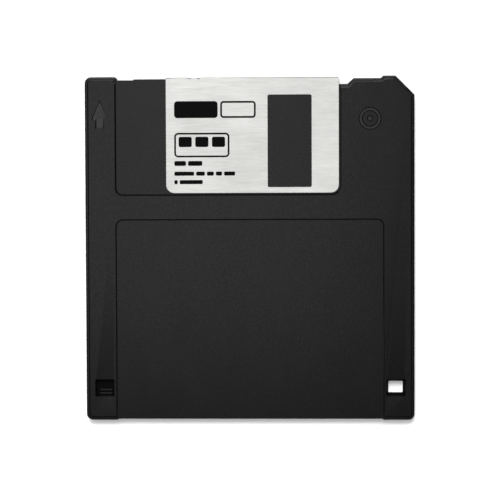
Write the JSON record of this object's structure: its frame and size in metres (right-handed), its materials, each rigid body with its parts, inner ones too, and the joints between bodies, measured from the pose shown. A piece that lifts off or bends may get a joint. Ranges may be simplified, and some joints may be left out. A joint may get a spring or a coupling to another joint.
{
  "type": "floppy disk",
  "caption": "Flat hard plastic case holding a thin magnetic disk, with a spring-closed metal shutter over its head windows and a sliding write-protect tab.",
  "frame": {"origin": "centre of the case's outline on its flat back face, the side with the hub", "axes": "+Z out of the label side, +Y towards the leading edge with the shutter, +X towards the side with the cut corner"},
  "size_m": [0.09, 0.094, 0.0033],
  "materials": {
    "case": "satin, finely textured black",
    "shutter": "brushed along its length",
    "spring": "drawn wire",
    "tab": "satin black",
    "disk": "smooth coated film",
    "hub": "pressed and turned",
    "glue": "dull",
    "liner": "non-woven",
    "lifter": "smooth film"
  },
  "bodies": {
    "case": {"front_shell": "case", "back_shell": "case", "front_liner": "liner", "back_liner": "liner", "liner_lifter": "lifter", "shutter_spring": "spring"},
    "shutter": {"shutter": "shutter"},
    "write_protect_tab": {"write_protect_tab": "tab"},
    "media": {"magnetic_disk": "disk", "hub": "hub", "hub_glue_ring": "glue"}
  },
  "joints": [
    {"name": "shutter_slide", "type": "slide", "parent": "case", "child": "shutter", "axis": [-1, 0, 0], "range_m": [0, 0.011], "stiffness_N_per_m": 30, "springref_m": -0.012, "deforming": ["shutter_spring"]},
    {"name": "write_protect_slide", "type": "slide", "parent": "case", "child": "write_protect_tab", "axis": [0, -1, 0], "range_m": [0, 0.0051]},
    {"name": "media_spin", "type": "hinge", "parent": "case", "child": "media", "pos_m": [0, -0.00175, 0.00165], "axis": [0, 0, 1], "continuous": true}
  ]
}
